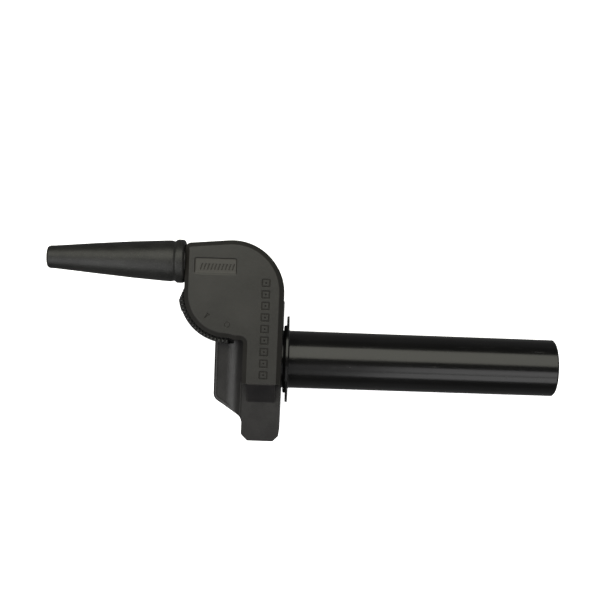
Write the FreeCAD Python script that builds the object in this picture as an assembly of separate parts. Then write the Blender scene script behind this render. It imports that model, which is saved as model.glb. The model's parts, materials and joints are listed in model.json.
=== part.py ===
"""Quick-action motorcycle throttle grip with a right-angle cable outlet.

Frame: +X runs along the handlebar axis toward the free end of the grip,
+Y points forward to the cable side, +Z points up out of the cover's face.
The origin is on the handlebar axis, in the inboard face of the clamp block.
All sizes are in millimetres.
"""
import FreeCAD
import Part

import math
import os

V = FreeCAD.Vector
X_AXIS = V(1, 0, 0)
Y_AXIS = V(0, 1, 0)
Z_AXIS = V(0, 0, 1)

# ---------------------------------------------------------------- driving dimensions

SLAB_LEFT = 13.0            # left wall of the slab that carries the drum

# how far cutting tools reach past the material: just clear of it, or through everything
PAST = 1.0
THROUGH = 40.0

# handlebar and clamp
BAR_R = 11.1                # 22.2 mm (7/8 in) handlebar
CLAMP_GAP = 0.6             # daylight between the clamp halves
CLAMP_SCREW_X = 6.4
CLAMP_SCREW_Y = 15.4
CLAMP_SCREW_R = 2.5         # M5
CLAMP_HEAD_R = 4.2
CLAMP_HEAD_H = 5.0
CLAMP_HEAD_Z = -9.0         # seat of the screw heads
CLAMP_KEY_AF = 4.0          # hexagon socket across flats
CLAMP_KEY_DEPTH = 2.6
INSERT_R = 3.6
INSERT_Z = (1.0, 8.6)
INSERT_WAISTS = (3.2, 5.4)  # low faces of the two grooves that lock the insert
INSERT_WAIST = (1.0, 0.4)   # their height and depth
BLOCK_FRONT_Z = 13.2
BLOCK_REAR_Z = -14.0
BLOCK_TOP_Y = 20.5
BLOCK_SLANT = ((0, -17.6, 4.0), (12.3, -25.3, 3.0))   # slanted lower edge: x, y, radius
BLOCK_END = (SLAB_LEFT + 0.6, SLAB_LEFT + 6.0, -30.5)  # where it ends inside the slab: x, x, y
BLOCK_EDGE = 1.2
BLOCK_RIM_W = 1.3           # rim left standing round the block's front face
BLOCK_RIM_H = 0.35
BLEND_R = 10.0              # hollow that climbs from the block to the slab
BLEND_X = 5.5               # where the hollow starts

# housing slab and lobe
RIGHT_TOP = V(30.12, 29.6, 0)
RIGHT_LOW = V(29.5, -31.9, 0)
SLAB_LOW_Y = -35.4
SLAB_UPPER_Y = 27.5         # upper end of the slab behind the lobe
CORNER_CUT = 2.4
CORE_X = (15.6, 26.8)       # hollow inside the lower end
CORE_Y = (-32.2, -24.0)
CORE_SKIN = 3.0
FRONT_Z = 25.5
FLAT_Z = 16.0               # stepped-down front of the lower end
LEDGE_X = (15.3, 27.4)      # inner edges of the sloping ledges beside the flat
LEDGE_DROP = 0.75
TOE_RUN = 1.3               # run of the bevel at the very end of the flat
SLOPE_TOP_Y = -9.9
SLOPE_LOW_Y = -19.9
PARTING_Z = 17.5            # cover to body, in the plane of the cable
TRAY_Z = 8.0                # rear face of the lobe
FLOOR = 2.5
WALL = 1.9
PLATE = 3.0
AXLE_PAD = (2.0, 0.5)       # pad under the cover round the axle: width and height
EDGE_CUT = 2.0              # bevelled rim of the cover
TONGUE = (17.0, 26.0, 3.0, 2.2, 20.4, 22.6)   # x, x, length inside, length out, z, z
SEAM = 0.12
LOBE_LEFT = -13.35
TOP_LEFT_R = 2.6
LOBE_R = 18.9
LOBE_LOW_Y = 9.7
LOBE_STEP = V(9.5, 8.9, 0)
TOP_LEFT_Y = 50.26
TOP_SLOPE = 0.0924
CROWN_R = 22.5

# rear shell
REAR_R = 22.8
REAR_FLAT_Z = -10.0
REAR_EAR_Z = -6.0
REAR_BEVEL = ((-24.0, REAR_FLAT_Z), (-18.0, -30.0))   # slope of the block's rear corner: y, z
REAR_EDGE = 0.8
BARREL_EDGE = 1.8

# throttle tube
TUBE_BORE_R = 11.35
TUBE_R = 13.0
TUBE_END_R = 12.75
TUBE_END_X = 153.3
TUBE_INNER_X = 15.4
NECK_GAP = 0.06
DRUM_R = 19.6
DRUM_END_X = 22.8
CHAMBER_R = 20.2
CHAMBER_X = (14.8, 22.95)
RELIEF_R = 15.9             # drum radius in the sector that swings past the stop
RELIEF_DEG = (169.0, 281.0)
STOP_HALF_DEG = 10.0
STOP_INNER_R = 16.4
GRIP_STOP_X = (31.6, 32.6)
GRIP_STOP_R = 19.5
SEAL_X = (30.35, 31.5)
SEAL_R = 15.3
WASHER_T = 0.4

# cable run
CABLE_Z = 17.5
CABLE_R = 0.9               # half width of the cable grooves
DRUM_CABLE_R = 17.5
DRUM_CABLE_X = 19.4
NIPPLE_R = 2.6
NIPPLE_DEG = 150.0
PULLEY_X = 5.6
PULLEY_Y = 28.6
PULLEY_CABLE_R = DRUM_CABLE_X - PULLEY_X
CABLE_Y = PULLEY_Y + PULLEY_CABLE_R

# guide pulley and its axle
PULLEY_R = 15.6
PULLEY_Z = (15.4, 19.6)
PULLEY_WEB_Z = (16.3, 18.7)
PULLEY_WEB_R = (7.0, 11.0, 11.4)    # hub, and the rim's inner wall at the web and at its edge
PULLEY_HOLES = (6, 9.0, 1.3)        # number, radius of their circle, radius of each
BUSH_R = 4.6
AXLE_R = 3.0
AXLE_HEAD_R = 5.0
AXLE_HEAD_H = 1.6
AXLE_TOP_Z = 23.6
RUN_GAP = 0.05
FIXED_GAP = 0.02
CLIP_Z = (20.7, 21.5)
CLIP_GROOVE_R = 2.3
CLIP_MOUTH_DEG = 40.0       # half of the clip's opening

# friction quadrant
QUAD_R = 21.35
QUAD_RIM_R = 17.0
QUAD_Z = (10.6, 22.0)
QUAD_WEB_T = 1.6
QUAD_DEG = (187.5, 271.0)
QUAD_HUB_R = 8.5
QUAD_TRAVEL_DEG = 5.0
QUAD_RAMP = (19.4, 174.0)   # radius and angle where the ramped end starts
QUAD_LUG = (21.65, 188.0, 202.0)
CREST_R = 0.97              # round crest of the toothed rim
CREST_GAP = 1.3             # depth of the gutter between crest and cover
TOOTH_COUNT = 76            # on a full circle
TOOTH_FIRST_DEG = 178.0
TOOTH_GAP = (0.60, 0.25)    # half width of a tooth gap at its top and its bottom
TOOTH_DEPTH = 1.0
SPRING_T = 0.5
FRICTION_T = 1.5

# cable adjuster and boot
SPIGOT_R = 5.0
SPIGOT_FLANGE_R = 5.8
SPIGOT_COLLAR_R = 6.6
SPIGOT_COLLAR_T = 1.4
ADJUSTER_R = 4.0            # M8 x 1
ADJUSTER_X = (-46.0, -7.4)
ADJUSTER_HEAD_X = -37.0
ADJUSTER_HEAD_R = 4.7
ADJUSTER_BORE_R = 1.5
CONDUIT_R = 3.05
CONDUIT_DEPTH = 8.0
LOCKNUT_AF = 12.0
LOCKNUT_T = 3.0
BOOT_WALL = 1.6
BOOT_MOUTH_R = 3.2
BOOT_COLLAR_R = 9.5
BOOT_COLLAR_X = (-18.0, -13.75)
BOOT_TIP_X = -74.2
BOOT_OUTLINE = ((-74.2, 4.1), (-73.4, 4.9), (-55.6, 6.4), (-45.0, 7.3), (-37.0, 8.0),
                (-29.2, 8.45), (-21.6, 8.9), (-19.4, 8.8), (-18.3, 8.8))

# small fasteners
SCREW_R = 1.6
SCREW_CORE_R = 1.3          # root of the thread
SCREW_HEAD_R = 3.0
SCREW_HEAD_H = 2.0
SCREW_HEAD_EDGE = 0.8
SCREW_RECESS = (2.8, 0.6, 1.1)      # cross recess: length, width and depth
SCREW_BOSS_R = 2.8
COVER_SCREW_L = 12.5
HOUSING_SCREW_L = 11.0
HOLE_GAP = 0.1              # clearance round a screw's shank
CLAMP_HOLE_GAP = 0.2
HEAD_GAP = 0.2              # clearance round a screw's head
COVER_SCREWS = ((20.2, 42.4), (-2.0, 47.2))
HOUSING_SCREWS = ((21.4, -28.2), (21.4, 23.6))

# marks on the cover's face
PANEL = (-9.1, 36.8, 9.4, 44.2)      # recessed panel: x, y, x, y at the face
PANEL_DEPTH = 0.55
PANEL_WALL = (0.45, 1.1)             # run of its steep walls and of its lower wall
PANEL_CORNER = 0.9
HATCH = (-6.8, 7.0, 10)              # first and last slanted stroke, and their number
HATCH_Y = (38.9, 41.6)
HATCH_LEAN = 0.9
HATCH_W = 0.62
HATCH_DEPTH = 0.4
TILE_X = 22.2
TILE_Y = (-5.9, 34.0)
TILE_COUNT = 9
TILE_SIZE = (3.9, 3.7)
TILE_LINE = 0.75
TILE_PIT = 0.9
TILE_DEPTH = 0.45
ARROW = (11.6, 14.6, 4.2, 228.0)     # tail and tip radius, half angle, angle
ARROW_DEPTH = 0.5
STAMP = (5.9, 15.4, 1.3, 0.95)       # x, y, outer and inner radius
STAMP_DEPTH = 0.25


# ---------------------------------------------------------------- helpers

def rounded_face(corners, z=0.0):
    """Flat face from corners (x, y, radius), walked in order."""
    count = len(corners)
    points = [V(c[0], c[1], z) for c in corners]
    starts = []
    ends = []
    mids = []
    for i in range(count):
        radius = corners[i][2]
        here = points[i]
        back = (points[i - 1] - here).normalize()
        ahead = (points[(i + 1) % count] - here).normalize()
        half = back.getAngle(ahead) / 2.0
        if radius <= 0:
            starts.append(here)
            ends.append(here)
            mids.append(None)
            continue
        run = radius / math.tan(half)
        centre = here + (back + ahead).normalize() * (radius / math.sin(half))
        starts.append(here + back * run)
        ends.append(here + ahead * run)
        mids.append(centre + (here - centre).normalize() * radius)
    edges = []
    for i in range(count):
        if mids[i] is not None:
            edges.append(Part.Arc(starts[i], mids[i], ends[i]).toShape())
        following = starts[(i + 1) % count]
        if ends[i].distanceToPoint(following) > 1e-6:
            edges.append(Part.LineSegment(ends[i], following).toShape())
    return Part.Face(Part.Wire(edges))


def prism(corners, z_low, z_high):
    return rounded_face(corners, z_low).extrude(V(0, 0, z_high - z_low))


def profile_prism(points_yz, x_low, x_high):
    """Solid with an outline in the YZ plane, between two X planes."""
    loop = [V(x_low, y, z) for y, z in points_yz]
    face = Part.Face(Part.makePolygon(loop + [loop[0]]))
    return face.extrude(V(x_high - x_low, 0, 0))


def along_x(radius, x_low, x_high, y=0.0, z=0.0):
    return Part.makeCylinder(radius, x_high - x_low, V(x_low, y, z), X_AXIS)


def along_z(radius, z_low, z_high, x, y):
    return Part.makeCylinder(radius, z_high - z_low, V(x, y, z_low), Z_AXIS)


def box(x_low, x_high, y_low, y_high, z_low, z_high):
    size = (x_high - x_low, y_high - y_low, z_high - z_low)
    return Part.makeBox(size[0], size[1], size[2], V(x_low, y_low, z_low))


def revolve_x(points_xr, y=0.0, z=0.0):
    """Solid of revolution about a line parallel to X through (y, z)."""
    loop = [V(x, y + r, z) for x, r in points_xr]
    face = Part.Face(Part.makePolygon(loop + [loop[0]]))
    return face.revolve(V(0, y, z), X_AXIS, 360)


def revolve_z(points_rz, x, y):
    loop = [V(x + r, y, z) for r, z in points_rz]
    face = Part.Face(Part.makePolygon(loop + [loop[0]]))
    return face.revolve(V(x, y, 0), Z_AXIS, 360)


def polar(radius, degrees, z=0.0):
    """Point on a circle about the pulley's axis."""
    angle = math.radians(degrees)
    return V(PULLEY_X + radius * math.cos(angle), PULLEY_Y + radius * math.sin(angle), z)


def sector(radius, start_deg, end_deg, z_low, z_high):
    """Pie slice about the pulley's axis."""
    middle = (start_deg + end_deg) / 2.0
    hub = polar(0, 0, z_low)
    first = polar(radius, start_deg, z_low)
    last = polar(radius, end_deg, z_low)
    arc = Part.Arc(first, polar(radius, middle, z_low), last).toShape()
    edges = [Part.LineSegment(hub, first).toShape(), arc, Part.LineSegment(last, hub).toShape()]
    return Part.Face(Part.Wire(edges)).extrude(V(0, 0, z_high - z_low))


def bar_sector(radius, start_deg, end_deg, x_low, x_high):
    """Pie slice about the handlebar axis; 0 is +Y and 90 is +Z."""
    def rim(degrees):
        angle = math.radians(degrees)
        return V(x_low, radius * math.cos(angle), radius * math.sin(angle))
    hub = V(x_low, 0, 0)
    arc = Part.Arc(rim(start_deg), rim((start_deg + end_deg) / 2.0), rim(end_deg)).toShape()
    edges = [Part.LineSegment(hub, rim(start_deg)).toShape(), arc,
             Part.LineSegment(rim(end_deg), hub).toShape()]
    return Part.Face(Part.Wire(edges)).extrude(V(x_high - x_low, 0, 0))


def edges_where(shape, test):
    return [edge for edge in shape.Edges if test(edge.BoundBox)]


def right_wall_x(y):
    """The slab's right wall leans in by half a millimetre toward its lower end."""
    share = (RIGHT_TOP.y - y) / (RIGHT_TOP.y - RIGHT_LOW.y)
    return RIGHT_TOP.x + (RIGHT_LOW.x - RIGHT_TOP.x) * share


# ---------------------------------------------------------------- outlines

def cover_corners():
    crown_y = TOP_LEFT_Y + (RIGHT_TOP.x - LOBE_LEFT) * TOP_SLOPE
    return [
        (LOBE_LEFT, TOP_LEFT_Y, TOP_LEFT_R),
        (LOBE_LEFT, LOBE_LOW_Y, LOBE_R),
        (PULLEY_X + 0.4, LOBE_LOW_Y, 2.0),
        (LOBE_STEP.x, LOBE_STEP.y, 2.0),
        (SLAB_LEFT, LOBE_STEP.y, 1.4),
        (SLAB_LEFT, SLOPE_TOP_Y, 0),
        (right_wall_x(SLOPE_TOP_Y), SLOPE_TOP_Y, 0),
        (RIGHT_TOP.x, crown_y, CROWN_R),
    ]


def slab_corners(upper_y):
    low_cut = CORNER_CUT + 0.4
    return [
        (SLAB_LEFT, upper_y, 2.0),
        (SLAB_LEFT, SLAB_LOW_Y + low_cut, 1.0),
        (SLAB_LEFT + low_cut, SLAB_LOW_Y, 1.0),
        (right_wall_x(SLAB_LOW_Y) - CORNER_CUT, SLAB_LOW_Y, 1.0),
        (right_wall_x(SLAB_LOW_Y + CORNER_CUT), SLAB_LOW_Y + CORNER_CUT, 1.0),
        (right_wall_x(upper_y), upper_y, 2.0),
    ]


def block_corners():
    """Clamp block, run on into the slab so that the two fuse."""
    end_x, right_x, low_y = BLOCK_END
    return [
        (0, BLOCK_TOP_Y, 3.0),
        BLOCK_SLANT[0],
        BLOCK_SLANT[1],
        (end_x, low_y, 0),
        (right_x, low_y, 0),
        (right_x, BLOCK_TOP_Y, 0),
    ]


# ---------------------------------------------------------------- housing shells

def screw_holes(shape, places, radius, z_low, z_high):
    for x, y in places:
        shape = shape.cut(along_z(radius, z_low, z_high, x, y))
    return shape


def quadrant_window(z_low, z_high):
    """Opening in the lobe's wall through which the thumb quadrant stands out."""
    start = QUAD_RAMP[1] - QUAD_TRAVEL_DEG - 4.0
    end = QUAD_DEG[1] + QUAD_TRAVEL_DEG + 1.5
    wedge = sector(QUAD_R + 0.5, start, end, z_low, z_high)
    return wedge.cut(along_z(QUAD_RIM_R - 1.4, z_low, z_high, PULLEY_X, PULLEY_Y))


def spigot_hole():
    """Hole for the adjuster's bush, half in the cover and half in the body."""
    return along_x(SPIGOT_R + FIXED_GAP, LOBE_LEFT - PAST, LOBE_LEFT + WALL + PAST, CABLE_Y, CABLE_Z)


def bore_along_bar(shape):
    """Cuts the drum's chamber, the tube's neck and the handlebar's bore."""
    shape = shape.cut(along_x(CHAMBER_R, CHAMBER_X[0], CHAMBER_X[1]))
    shape = shape.cut(along_x(TUBE_R + NECK_GAP, CHAMBER_X[1] - 0.1, THROUGH))
    return shape.cut(along_x(BAR_R, -PAST, CHAMBER_X[0] + 0.1))


def make_top_cover():
    outline = cover_corners()
    shell = prism(outline, PARTING_Z + SEAM, FRONT_Z)
    rim = edges_where(shell, lambda b: b.ZMin > FRONT_Z - 0.01 and b.YMax > SLOPE_TOP_Y + 0.01)
    shell = shell.makeChamfer(EDGE_CUT, rim)
    hollow = rounded_face(outline, PARTING_Z).makeOffset2D(-WALL)
    hollow = hollow.extrude(V(0, 0, FRONT_Z - PLATE - PARTING_Z))
    shell = shell.cut(hollow)
    shell = shell.cut(quadrant_window(PARTING_Z - PAST, QUAD_Z[1] + 0.4))
    rooted_z = FRONT_Z - PLATE + 0.2
    for x, y in COVER_SCREWS:
        boss = along_z(SCREW_BOSS_R, PARTING_Z + SEAM, rooted_z, x, y)
        shell = shell.fuse(boss.common(prism(outline, PARTING_Z, rooted_z)))
    pad_w, pad_h = AXLE_PAD
    pad = along_z(AXLE_R + pad_w, FRONT_Z - PLATE - pad_h, rooted_z, PULLEY_X, PULLEY_Y)
    shell = shell.fuse(pad)
    shell = shell.cut(along_z(AXLE_R + FIXED_GAP, PARTING_Z, AXLE_TOP_Z + 0.1, PULLEY_X, PULLEY_Y))
    shell = screw_holes(shell, COVER_SCREWS, SCREW_CORE_R + FIXED_GAP, PARTING_Z, FRONT_Z - 2.2)
    shell = shell.cut(spigot_hole())
    shell = shell.cut(along_x(CHAMBER_R, CHAMBER_X[0], CHAMBER_X[1]))
    shell = shell.fuse(tongue_box(0.0))
    shell = cut_face_marks(shell)
    return shell.removeSplitter()


def tongue_box(clearance):
    """Tongue that hooks the cover's end into the body, or its socket when given a clearance."""
    x_low, x_high, inside, out, z_low, z_high = TONGUE
    return box(x_low - clearance, x_high + clearance, SLOPE_TOP_Y - out - clearance,
               SLOPE_TOP_Y + inside, z_low - clearance, z_high + clearance)


def rectangle(x_low, y_low, x_high, y_high, radius):
    """Corners of an upright rectangle, all with one radius."""
    return [(x_low, y_high, radius), (x_low, y_low, radius),
            (x_high, y_low, radius), (x_high, y_high, radius)]


def cut_name_panel(shell):
    """Panel sunk into the face, its lower wall shallower than the rest, with slanted strokes."""
    x_low, y_low, x_high, y_high = PANEL
    steep, shallow = PANEL_WALL
    floor_z = FRONT_Z - PANEL_DEPTH
    mouth = rounded_face(rectangle(x_low, y_low, x_high, y_high, PANEL_CORNER), FRONT_Z)
    floor = rounded_face(rectangle(x_low + steep, y_low + shallow, x_high - steep, y_high - steep,
                                   PANEL_CORNER - steep / 2), floor_z)
    shell = shell.cut(Part.makeLoft([mouth.OuterWire, floor.OuterWire], True, True))
    first, last, count = HATCH
    low, high = HATCH_Y
    for i in range(count):
        x = first + i * (last - first) / (count - 1)
        stroke = [(x, low, 0), (x + HATCH_W, low, 0),
                  (x + HATCH_W + HATCH_LEAN, high, 0), (x + HATCH_LEAN, high, 0)]
        shell = shell.cut(prism(stroke, floor_z - HATCH_DEPTH, FRONT_Z))
    return shell


def cut_tiles(shell):
    """Column of plain square marks: a sunk line round each and a pit in its middle."""
    half_x, half_y = (size / 2 for size in TILE_SIZE)
    step = (TILE_Y[1] - TILE_Y[0]) / (TILE_COUNT - 1)
    low = FRONT_Z - TILE_DEPTH
    for i in range(TILE_COUNT):
        y = TILE_Y[0] + i * step
        line = prism(rectangle(TILE_X - half_x, y - half_y, TILE_X + half_x, y + half_y, 0.5),
                     low, FRONT_Z + PAST)
        inner_x = half_x - TILE_LINE
        inner_y = half_y - TILE_LINE
        core = prism(rectangle(TILE_X - inner_x, y - inner_y, TILE_X + inner_x, y + inner_y, 0.2),
                     low - PAST, FRONT_Z + 2 * PAST)
        pit = along_z(TILE_PIT / 2, low, FRONT_Z + PAST, TILE_X, y)
        shell = shell.cut(line.cut(core)).cut(pit)
    return shell


def cut_face_marks(shell):
    """Name panel, column of marks, index arrow of the thumb quadrant and a mould stamp."""
    shell = cut_tiles(cut_name_panel(shell))
    tail, tip_r, half_deg, degrees = ARROW
    tip = polar(tip_r, degrees)
    left = polar(tail, degrees + half_deg)
    right = polar(tail, degrees - half_deg)
    arrow = [(tip.x, tip.y, 0), (left.x, left.y, 0), (right.x, right.y, 0)]
    shell = shell.cut(prism(arrow, FRONT_Z - ARROW_DEPTH, FRONT_Z + PAST))
    x, y, outer, inner = STAMP
    stamp = along_z(outer, FRONT_Z - STAMP_DEPTH, FRONT_Z + PAST, x, y)
    return shell.cut(stamp.cut(along_z(inner, FRONT_Z - PAST, FRONT_Z + 2, x, y)))


def profile_prism_y(points_xz, y_low, y_high):
    """Solid with an outline in the XZ plane, between two Y planes."""
    loop = [V(x, y_low, z) for x, z in points_xz]
    face = Part.Face(Part.makePolygon(loop + [loop[0]]))
    return face.extrude(V(0, y_high - y_low, 0))


def make_lower_front():
    """Lower end of the slab: slope and flat in the middle, a sloping ledge at either side."""
    outline = slab_corners(SLOPE_TOP_Y + 2.0)
    left, right = LEDGE_X
    outer_left = SLAB_LEFT - 0.5
    outer_right = RIGHT_TOP.x + 0.5
    end_y = SLAB_LOW_Y - PAST
    seam_y = SLOPE_TOP_Y - SEAM
    across = profile_prism_y([(outer_left, 0), (outer_left, FLAT_Z - LEDGE_DROP), (left, FLAT_Z),
                              (right, FLAT_Z), (outer_right, FLAT_Z - LEDGE_DROP),
                              (outer_right, 0)], end_y, seam_y)
    along = profile_prism([(seam_y, 0), (seam_y, FLAT_Z), (SLAB_LOW_Y + TOE_RUN, FLAT_Z),
                           (SLAB_LOW_Y, FLAT_Z - LEDGE_DROP), (end_y, FLAT_Z - LEDGE_DROP),
                           (end_y, 0)], 0, THROUGH)
    base = prism(outline, 0, FLAT_Z).common(across).common(along)
    slope = profile_prism([(seam_y, 0), (seam_y, FRONT_Z), (SLOPE_LOW_Y, FLAT_Z),
                           (SLOPE_LOW_Y, 0)], left, right)
    return base.fuse(slope)


def make_clamp_block_front():
    """Front half of the clamp block, with a low rim and the hollow that climbs to the slab."""
    block = prism(block_corners(), 0, BLOCK_FRONT_Z)
    rim = edges_where(block, lambda b: b.ZMin > BLOCK_FRONT_Z - 0.01 and b.XMax < SLAB_LEFT)
    block = block.makeFillet(BLOCK_EDGE, rim)
    field = rounded_face(block_corners(), BLOCK_FRONT_Z - BLOCK_RIM_H).makeOffset2D(-BLOCK_RIM_W)
    block = block.cut(field.extrude(V(0, 0, 1)))
    foot_z = BLOCK_FRONT_Z - BLOCK_RIM_H
    centre_z = foot_z + BLEND_R
    blend = prism(block_corners(), foot_z - 0.5, centre_z)
    blend = blend.common(box(BLEND_X, SLAB_LEFT + PAST, SLAB_LOW_Y, LOBE_STEP.y, 0, centre_z))
    blend = blend.cut(Part.makeCylinder(BLEND_R, 80, V(BLEND_X, SLAB_LOW_Y - PAST, centre_z), Y_AXIS))
    ledge_z = FLAT_Z - LEDGE_DROP
    limit = profile_prism([(LOBE_STEP.y, 0), (LOBE_STEP.y, FRONT_Z), (SLOPE_TOP_Y - SEAM, FRONT_Z),
                           (SLOPE_TOP_Y - SEAM, ledge_z), (SLAB_LOW_Y, ledge_z),
                           (SLAB_LOW_Y, 0)], 0, THROUGH)
    return block.fuse(blend.common(limit))


def make_housing_body():
    lobe = prism(cover_corners(), TRAY_Z, PARTING_Z)
    slab = prism(slab_corners(SLAB_UPPER_Y), 0, TRAY_Z + PAST)
    walls = prism(slab_corners(LOBE_STEP.y + 2.0), 0, PARTING_Z)
    body = lobe.fuse([slab, walls, make_lower_front(), make_clamp_block_front()])

    inner = rounded_face(cover_corners(), TRAY_Z + FLOOR).makeOffset2D(-WALL)
    body = body.cut(inner.extrude(V(0, 0, PARTING_Z - TRAY_Z - FLOOR + 0.1)))
    for x, y in COVER_SCREWS:
        boss = along_z(SCREW_BOSS_R, TRAY_Z, PARTING_Z, x, y)
        body = body.fuse(boss.common(prism(cover_corners(), TRAY_Z, PARTING_Z)))
    body = body.cut(quadrant_window(TRAY_Z + FLOOR, PARTING_Z + PAST))

    body = bore_along_bar(body)

    for x, y in COVER_SCREWS:
        body = body.cut(along_z(SCREW_R + HOLE_GAP, TRAY_Z - PAST, PARTING_Z + PAST, x, y))
        body = body.cut(along_z(SCREW_HEAD_R + HEAD_GAP, TRAY_Z - PAST, TRAY_Z + SCREW_HEAD_H, x, y))
    body = screw_holes(body, HOUSING_SCREWS, SCREW_CORE_R + FIXED_GAP, -PAST, TRAY_Z + PAST)
    for side in (-1, 1):
        y = side * CLAMP_SCREW_Y
        hole = along_z(CLAMP_SCREW_R + CLAMP_HOLE_GAP, -PAST, INSERT_Z[1] + 0.8, CLAMP_SCREW_X, y)
        body = body.cut(hole)
        body = body.cut(along_z(INSERT_R + FIXED_GAP, INSERT_Z[0], INSERT_Z[1], CLAMP_SCREW_X, y))

    body = body.cut(along_z(AXLE_R + FIXED_GAP, TRAY_Z - PAST, PARTING_Z, PULLEY_X, PULLEY_Y))
    body = body.cut(along_z(AXLE_HEAD_R + 0.1, TRAY_Z - PAST, TRAY_Z + AXLE_HEAD_H, PULLEY_X, PULLEY_Y))
    body = body.cut(spigot_hole())
    body = body.cut(tongue_box(0.2))
    body = body.cut(make_core_pocket(-PAST, FLAT_Z - CORE_SKIN, SCREW_BOSS_R))
    return body.removeSplitter()


def make_core_pocket(z_low, z_high, boss_r):
    """Hollow in the lower end that keeps the moulding's walls even, round the screw's boss."""
    pocket = rectangle(CORE_X[0], CORE_Y[0], CORE_X[1], CORE_Y[1], 1.2)
    x, y = HOUSING_SCREWS[0]
    return prism(pocket, z_low, z_high).cut(along_z(boss_r, z_low - PAST, z_high + PAST, x, y))


def make_rear_step(y_low, y_high, rear_z):
    """Flat-backed stretch of the rear shell, with its rear edges rounded."""
    step = prism(slab_corners(SLAB_UPPER_Y), rear_z, -SEAM)
    rim = edges_where(step, lambda b: b.ZMax < rear_z + 0.01)
    step = step.makeFillet(REAR_EDGE, rim)
    return step.common(box(0, THROUGH, y_low, y_high, -THROUGH, 0))


def make_rear_barrel():
    """Round back of the drum chamber, with rounded end rims."""
    outline = [(SLAB_LEFT, 0, 0), (SLAB_LEFT, REAR_R, BARREL_EDGE),
               (RIGHT_LOW.x, REAR_R, BARREL_EDGE), (RIGHT_LOW.x, 0, 0)]
    barrel = rounded_face(outline).revolve(V(0, 0, 0), X_AXIS, 360)
    return barrel.common(box(0, THROUGH, -THROUGH, THROUGH, -THROUGH, -SEAM))


def make_rear_block():
    block = prism(block_corners(), BLOCK_REAR_Z, -CLAMP_GAP)
    rim = edges_where(block, lambda b: b.ZMax < BLOCK_REAR_Z + 0.01 and b.XMax < SLAB_LEFT)
    block = block.makeFillet(BLOCK_EDGE, rim)
    start, end = REAR_BEVEL
    bevel = profile_prism([(SLAB_LOW_Y, start[1]), start, end, (SLAB_LOW_Y, end[1])],
                          -PAST, THROUGH)
    return block.cut(bevel)


def make_rear_clamp_half():
    foot = make_rear_step(SLAB_LOW_Y - PAST, 0, REAR_FLAT_Z)
    ear = make_rear_step(0, SLAB_UPPER_Y + PAST, REAR_EAR_Z)
    half = foot.fuse([ear, make_rear_barrel(), make_rear_block()])
    half = bore_along_bar(half)
    stop = bar_sector(CHAMBER_R + 0.5, 270 - STOP_HALF_DEG, 270 + STOP_HALF_DEG,
                      CHAMBER_X[0] + WASHER_T + 2 * RUN_GAP, CHAMBER_X[1] + 0.1)
    stop = stop.cut(along_x(STOP_INNER_R, 0, THROUGH))
    half = half.fuse(stop)

    for side in (-1, 1):
        y = side * CLAMP_SCREW_Y
        hole = along_z(CLAMP_SCREW_R + CLAMP_HOLE_GAP, -THROUGH, PAST, CLAMP_SCREW_X, y)
        well = along_z(CLAMP_HEAD_R + HEAD_GAP, -THROUGH, CLAMP_HEAD_Z, CLAMP_SCREW_X, y)
        half = half.cut([hole, well])
    for x, y in HOUSING_SCREWS:
        seat = housing_screw_seat(y)
        half = half.cut(along_z(SCREW_R + HOLE_GAP, -THROUGH, PAST, x, y))
        half = half.cut(along_z(SCREW_HEAD_R + HEAD_GAP, -THROUGH, seat, x, y))
    core = make_core_pocket(REAR_FLAT_Z + CORE_SKIN, PAST, SCREW_BOSS_R + 1.0)
    return half.cut(core).removeSplitter()


def housing_screw_seat(y):
    """Height of the seat under a housing screw's head."""
    return (REAR_FLAT_Z if y < 0 else REAR_EAR_Z) + SCREW_HEAD_H + 0.6


# ---------------------------------------------------------------- fasteners

def make_pan_screw(x, y, seat_z, length):
    """Self-tapping screw driven toward +Z, with a cross recess."""
    screw = along_z(SCREW_CORE_R, seat_z, seat_z + length, x, y)
    head = along_z(SCREW_HEAD_R, seat_z - SCREW_HEAD_H, seat_z, x, y)
    rim = edges_where(head, lambda b: b.ZMax < seat_z - 0.1 and b.XLength > 1)
    screw = screw.fuse(head.makeFillet(SCREW_HEAD_EDGE, rim))
    crown_z = seat_z - SCREW_HEAD_H
    length_r, width_r, depth = SCREW_RECESS[0] / 2, SCREW_RECESS[1] / 2, SCREW_RECESS[2]
    for half_x, half_y in ((length_r, width_r), (width_r, length_r)):
        slot = box(x - half_x, x + half_x, y - half_y, y + half_y, crown_z - PAST, crown_z + depth)
        screw = screw.cut(slot)
    return screw.removeSplitter()


def make_cover_screws():
    seat = TRAY_Z + SCREW_HEAD_H
    return Part.makeCompound([make_pan_screw(x, y, seat, COVER_SCREW_L) for x, y in COVER_SCREWS])


def make_housing_screws():
    screws = []
    for x, y in HOUSING_SCREWS:
        seat = housing_screw_seat(y)
        screws.append(make_pan_screw(x, y, seat, HOUSING_SCREW_L))
    return Part.makeCompound(screws)


def hexagon_face(across_flats, place):
    """Hexagon whose flat coordinates the function place turns into points in space."""
    radius = across_flats / math.sqrt(3.0)
    ring = []
    for i in range(7):
        angle = math.radians(60 * i + 30)
        ring.append(place(radius * math.cos(angle), radius * math.sin(angle)))
    return Part.Face(Part.makePolygon(ring))


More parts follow.
